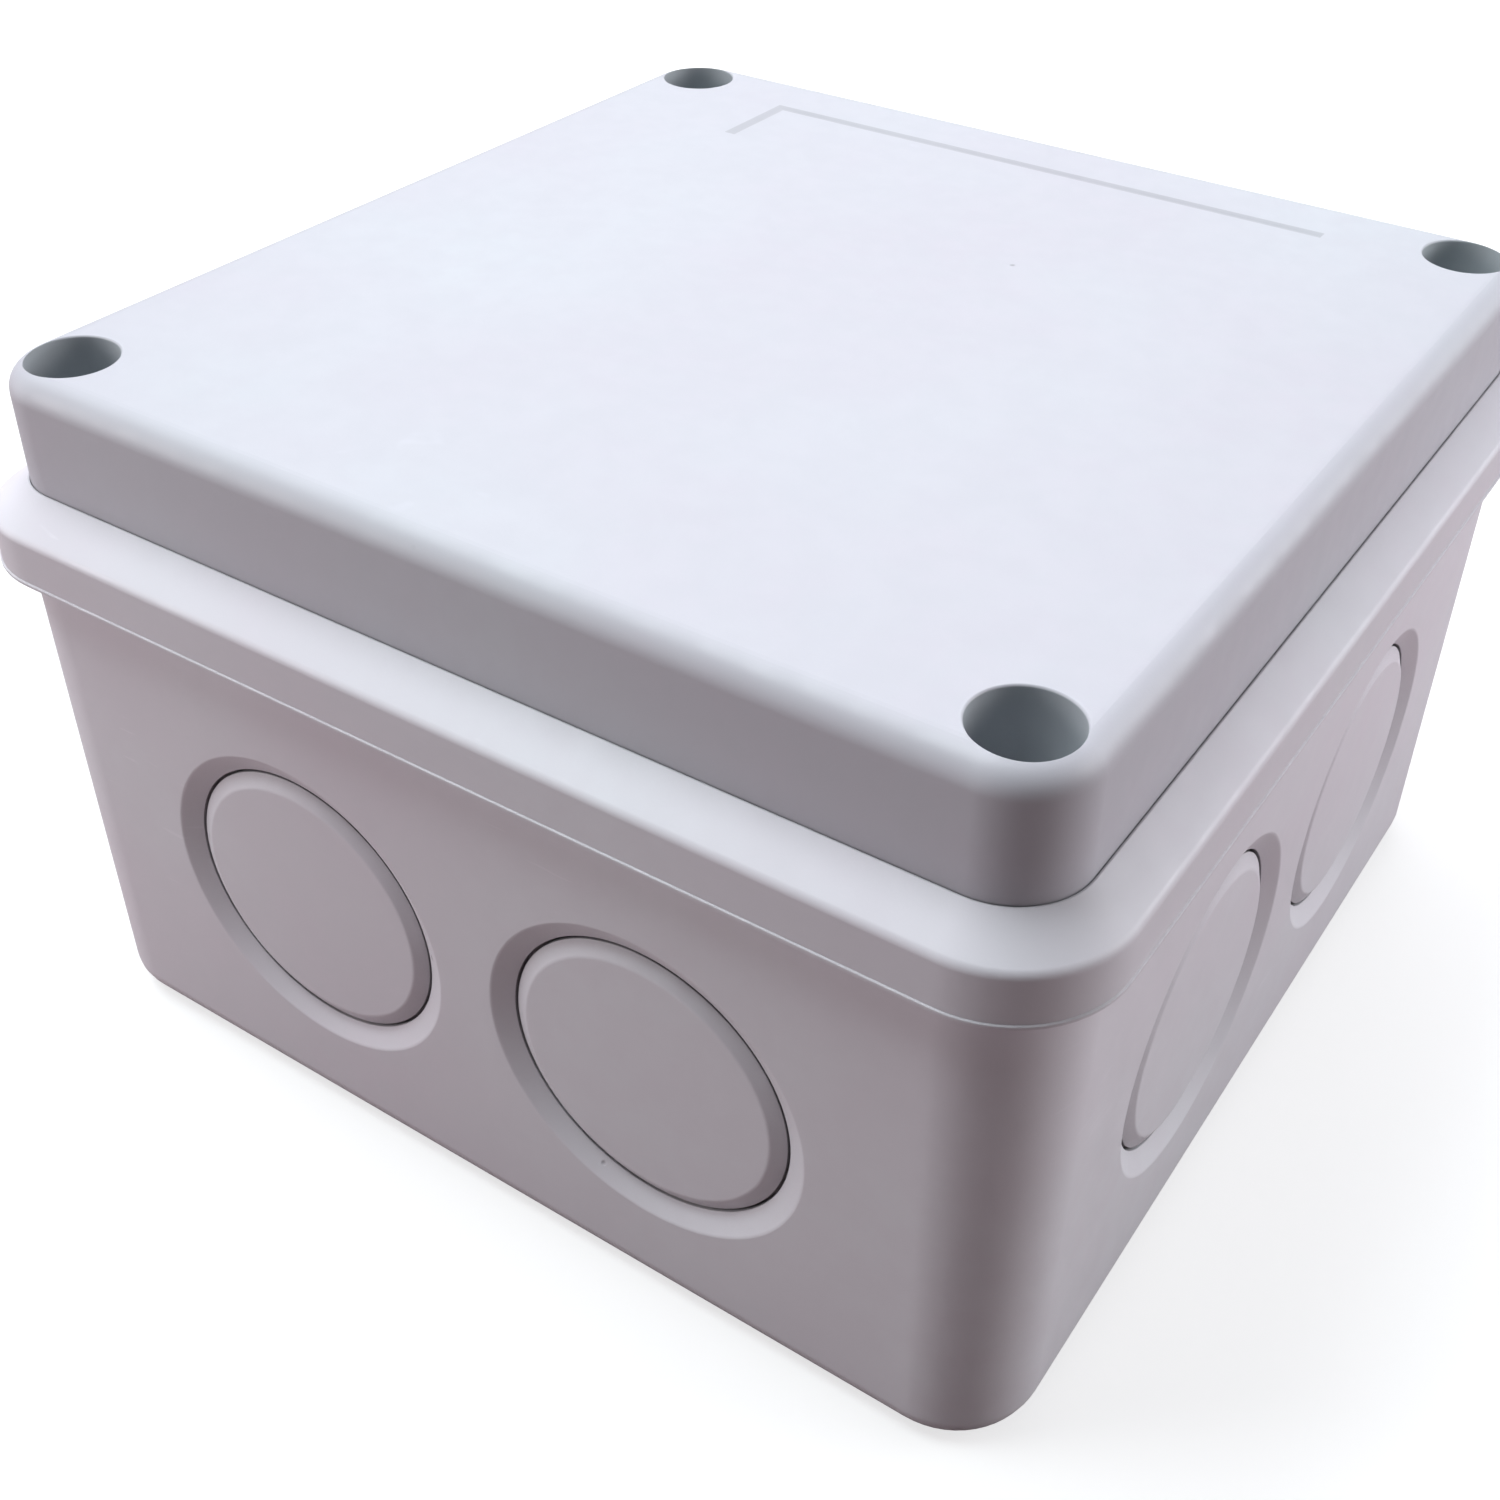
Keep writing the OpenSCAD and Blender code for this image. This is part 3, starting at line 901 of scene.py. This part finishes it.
def build_housing():
    """Moulded terminal housing: block, chimneys, bridges, funnel wire entries and marks between poles."""
    low, high = block_low.z, block_high.z
    width, depth = block_high.x - block_low.x, block_high.y - block_low.y
    body = moved(bevelled_box(width, depth, 10, 0.45), at(0, 0, low))
    chimney_foot = CHIMNEY_R + 0.05
    chimney = lathe(
        [(chimney_foot, low + 8, 0), (chimney_foot, low + 10, 0), (CHIMNEY_R, high, 0.45), (0.5, high, 0)], 48
    )
    places = [(x, s * CHIMNEY_Y) for x in POLES for s in (-1, 1)]
    boolean(body, "UNION", copies(chimney, [at(x, y) for x, y in places]))
    bridge = moved(bevelled_box(BRIDGE, 2 * CHIMNEY_Y, high - low - 8, 0.35), at(0, 0, low + 8))
    boolean(body, "UNION", copies(bridge, [at(x, 0) for x in POLES]))
    wire = lathe(
        [
            (3.6, -10, 0), (3.6, -depth / 2, 0), (2.65, -depth / 2 + 1.2, 0),
            (2.65, depth / 2 - 1.2, 0), (3.6, depth / 2, 0), (3.6, 10, 0),
        ],
        48,
    )
    wire.data.transform(Matrix.Rotation(-math.pi / 2, 4, "X"))
    boolean(body, "DIFFERENCE", copies(wire, [at(x, 0, BARREL_Z) for x in POLES]))
    shaft = lathe(
        [
            (1.75, BARREL_Z, 0), (1.75, BARREL_Z + 3.6, 0), (2.55, BARREL_Z + 3.6, 0),
            (2.55, high - 0.5, 0), (3.0, high + 0.05, 0), (3.0, high + 2, 0),
        ],
        40,
    )
    boolean(body, "DIFFERENCE", copies(shaft, [at(x, y) for x, y in places]))
    pilot = lathe([(1.65, 0, 0), (1.65, low + 10, 0), (2.05, low + 10.4, 0), (2.05, low + 12, 0)], 32)
    boolean(body, "DIFFERENCE", copies(pilot, [at(x, 0) for x in (-POST_X, POST_X)]))
    gaps = [(a + b) / 2 for a, b in zip(POLES, POLES[1:])]
    notch = bevelled_box(1.0, 3.0, 20, 0)
    spots = [at(x, s * depth / 2, 0) for x in gaps for s in (-1, 1)]
    boolean(body, "DIFFERENCE", copies(notch, spots))
    return body


# ---------------------------------------------------------------- the pieces
M = MATERIALS
piece(build_base(), "moulded_base", "base", M["housing_plastic"], ["base"])


def in_shaded_recess(p):
    """The walls and floor of the screw recesses, which get painted shade."""
    return SCREW_FLOOR - 0.1 < p.z < TOP_Z - 0.04 and any(
        math.hypot(p.x - x, p.y - y) < RECESS_R + 0.03 for x, y in SCREWS
    )


def in_shaded_line(p):
    """The floor and sides of the L-shaped line, which get painted shade."""
    return TOP_Z - LINE_DEPTH - 0.01 < p.z < TOP_Z - 0.02 and 25 < p.y < 43 and abs(p.x) < 34


piece(
    build_lid(), "moulded_lid", "lid", M["lid_plastic"], ["lid"],
    patches=[(M["lid_recess_shade"], in_shaded_recess), (M["lid_line_shade"], in_shaded_line)],
)
piece(build_gasket(), "gasket_cord", "base", M["gasket_rubber"], ["lid_gasket"], 50)
piece(
    copies(build_insert(), [at(x, y) for x, y in SCREWS]),
    "knurled_inserts", "base", M["brass"], ["threaded_inserts"],
)
retainer = ring_solid(ring_high.x - SCREWS[1][0], 1.56, ring_low.z, ring_high.z, 0.2)
piece(
    copies(retainer, [at(x, y) for x, y in SCREWS]),
    "nylon_retainers", "lid", M["nylon"], ["retaining_rings"],
)

screw_mesh = build_lid_screw()
washer_low, washer_high = box("screw_washer_" + CORNERS[0])
washer_mesh = ring_solid((washer_high.x - washer_low.x) / 2, 1.56, washer_low.z, washer_high.z, 0.12)


def instance(source, matrix):
    mesh = source.data.copy()
    mesh.transform(matrix)
    obj = bpy.data.objects.new("work", mesh)
    bpy.context.scene.collection.objects.link(obj)
    return obj


for index, (corner, (x, y)) in enumerate(zip(CORNERS, SCREWS)):
    turn = Matrix.Rotation(math.radians(17 + 31 * index), 4, "Z")
    piece(
        instance(screw_mesh, at(x, y) @ turn),
        "cross_screw_" + corner, "lid_screw_" + corner, M["screw_steel"],
        ["lid_screw_" + corner], 40,
    )
    piece(
        instance(washer_mesh, at(x, y)),
        "seal_washer_" + corner, "screw_washer_" + corner, M["washer_rubber"],
        ["screw_washer_" + corner], 50,
    )

blank_mesh = build_blank()
for side in range(4):
    for hand in range(2):
        node = "knockout_%s_%s" % (SIDES[side], "ab"[hand])
        piece(
            instance(blank_mesh, ENTRIES[2 * side + hand]),
            "blank_%s_%s" % (SIDES[side], "ab"[hand]), node, M["blank_plastic"], [node],
        )

housing = build_housing()
piece(housing, "terminal_block", "base", M["terminal_plastic"], ["terminal_housing"])
barrel_mesh = build_barrel()
clamp_low, clamp_high = box("clamp_screw_1_front")
clamp_mesh = slotted(clamp_low.z, clamp_high.z - 2, clamp_high.z, (clamp_high.x - clamp_low.x) / 2)
for n, x in enumerate(POLES, 1):
    node = "terminal_barrel_%d" % n
    barrel = instance(barrel_mesh, at(x, 0, BARREL_Z))
    piece(barrel, "wire_barrel_%d" % n, "base", M["brass"], [node])
    for end, sign in (("front", -1), ("back", 1)):
        node = "clamp_screw_%d_%s" % (n, end)
        turn = Matrix.Rotation(math.radians(20 + 37 * n + 61 * (sign > 0)), 4, "Z")
        piece(
            instance(clamp_mesh, at(x, sign * CHIMNEY_Y) @ turn),
            "slot_screw_%d_%s" % (n, end), node, M["screw_steel"], [node], 40,
        )
fix_low, fix_high = box("terminal_fixing_screws")
fixing_mesh = slotted(fix_low.z, fix_high.z - 2, fix_high.z, fix_high.x - POST_X, 0.8)
piece(
    copies(fixing_mesh, [at(x, 0) @ Matrix.Rotation(a, 4, "Z") for x, a in ((-POST_X, 0.6), (POST_X, -0.3))]),
    "block_screws", "base", M["screw_steel"], ["terminal_fixing_screws"], 40,
)
for source in (screw_mesh, washer_mesh, blank_mesh, barrel_mesh, clamp_mesh):
    bpy.data.objects.remove(source)


# ---------------------------------------------------------------- stage, light, camera
def stage_material(name, colour, roughness, glow=0.0, far_glow=0.0):
    """Plain matte surface for the stage; glow evens it out, more so far from the box."""
    s = Shader(name)
    tone = s.mix(s.span(s.noise(6, 2), 0.3, 0.7), shade(colour, 0.99), colour)
    rough = s.span(s.noise(60, 2), 0.3, 0.7, roughness - 0.03, roughness + 0.03)
    s.finish(tone, rough)
    s.bsdf.inputs["Specular IOR Level"].default_value = 0.1
    s.bsdf.inputs["Emission Color"].default_value = (0.99, 0.99, 1.0, 1.0)
    s.bsdf.inputs["Emission Strength"].default_value = glow
    if far_glow:
        away = s.node("ShaderNodeVectorMath", operation="LENGTH")
        s.link(s.coords, away.inputs[0])
        s.link(s.span(away.outputs["Value"], 0.12, 0.7, glow, far_glow), s.bsdf.inputs["Emission Strength"])
    return s.material


def disc(name, radius, z, material, **flags):
    seg = 96
    verts = circle(radius, z, seg)
    mesh = bpy.data.meshes.new(name)
    mesh.from_pydata(verts, [], [tuple(range(seg))])
    mesh.materials.append(material)
    obj = bpy.data.objects.new(name, mesh)
    bpy.context.scene.collection.objects.link(obj)
    for key, value in flags.items():
        setattr(obj, key, value)
    return obj


def softbox(name, azimuth, elevation, distance, width, height, power, colour, aim=(0, 0, 0.04)):
    data = bpy.data.lights.new(name, "AREA")
    data.shape, data.size, data.size_y = "RECTANGLE", width, height
    data.energy, data.color = power, colour
    obj = bpy.data.objects.new(name, data)
    bpy.context.scene.collection.objects.link(obj)
    a, e = math.radians(azimuth), math.radians(elevation)
    back = Vector((math.sin(a) * math.cos(e), -math.cos(a) * math.cos(e), math.sin(e)))
    obj.location = Vector(aim) + back * distance
    obj.rotation_mode = "QUATERNION"
    obj.rotation_quaternion = (-back).to_track_quat("-Z", "Y")
    obj.visible_camera = False
    return obj


UNSEEN = dict.fromkeys(("visible_diffuse", "visible_glossy", "visible_transmission", "visible_shadow"), False)
FLOOR_RADIUS = 4.5
DOME_RADIUS, DOME_HEIGHT, DOME_RINGS, DOME_SEGMENTS = 4.4, 3.6, 24, 64
floor_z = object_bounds()[0].z
seen_floor = stage_material("floor_white", (0.36, 0.36, 0.36), 0.6, 0.7, 0.94)
lighting_floor = stage_material("floor_bounce", (0.261, 0.198, 0.203), 0.8)
disc("floor", FLOOR_RADIUS, floor_z - 0.0001, seen_floor, **UNSEEN)
disc("floor_bounce", FLOOR_RADIUS, floor_z - 0.0004, lighting_floor, visible_camera=False)
rings = []
for k in range(DOME_RINGS + 1):
    a = math.pi / 2 * k / DOME_RINGS
    dome_r = DOME_RADIUS * math.cos(a) + 0.01
    rings.append(circle(dome_r / MM, (floor_z - 0.05 + DOME_HEIGHT * math.sin(a)) / MM, DOME_SEGMENTS))
backdrop = loft(rings)
backdrop.data.transform(Matrix.Scale(MM, 4))
backdrop.name = "backdrop"
backdrop.data.materials.append(stage_material("backdrop_white", (0.1, 0.1, 0.1), 0.8, 0.93))
for key, value in UNSEEN.items():
    setattr(backdrop, key, value)

softbox("sky_panel", 200, 85, 1.6, 1.4, 1.4, 5.5, (0.892, 0.96, 1.0))
softbox("window_left", -72, 64, 1.3, 0.8, 0.6, 15.4, (0.911, 0.982, 1.0))
softbox("window_back", 213, 40, 1.2, 1.0, 0.8, 8.4, (0.946, 0.943, 1.0))
softbox("low_right", 122, 18, 0.9, 0.5, 0.4, 4.0, (1.0, 0.971, 0.956))
softbox("near_left", -48, 14, 0.4, 0.2, 0.15, 0.57, (1.0, 0.952, 0.95))
softbox("near_right", 135, 12, 0.35, 0.2, 0.15, 0.34, (0.834, 0.926, 1.0))

world = bpy.data.worlds.new("studio")
world.use_nodes = True
world.node_tree.nodes["Background"].inputs["Color"].default_value = (0.9, 0.92, 0.96, 1)
world.node_tree.nodes["Background"].inputs["Strength"].default_value = 0.02
bpy.context.scene.world = world
bpy.context.scene.view_settings.view_transform = "Standard"

AZIMUTH, ELEVATION, ROLL = (math.radians(v) for v in (32.847, 34.631, 1.061))
CAMERA_PLACE = Vector((83.645, -132.313, 138.257))
camera_data = bpy.data.cameras.new("camera")
camera_data.sensor_width, camera_data.lens = 36, 45.85
camera_data.shift_x, camera_data.shift_y = -0.02667, -0.06667
camera_data.clip_start = 0.01
camera = bpy.data.objects.new("camera", camera_data)
bpy.context.scene.collection.objects.link(camera)
back = Vector((
    math.sin(AZIMUTH) * math.cos(ELEVATION), -math.cos(AZIMUTH) * math.cos(ELEVATION), math.sin(ELEVATION),
))
right = Vector((math.cos(AZIMUTH), math.sin(AZIMUTH), 0))
up = back.cross(right)
right, up = right * math.cos(ROLL) + up * math.sin(ROLL), up * math.cos(ROLL) - right * math.sin(ROLL)
camera.matrix_world = Matrix.Translation(CAMERA_PLACE * MM) @ Matrix((right, up, back)).transposed().to_4x4()
bpy.context.scene.camera = camera
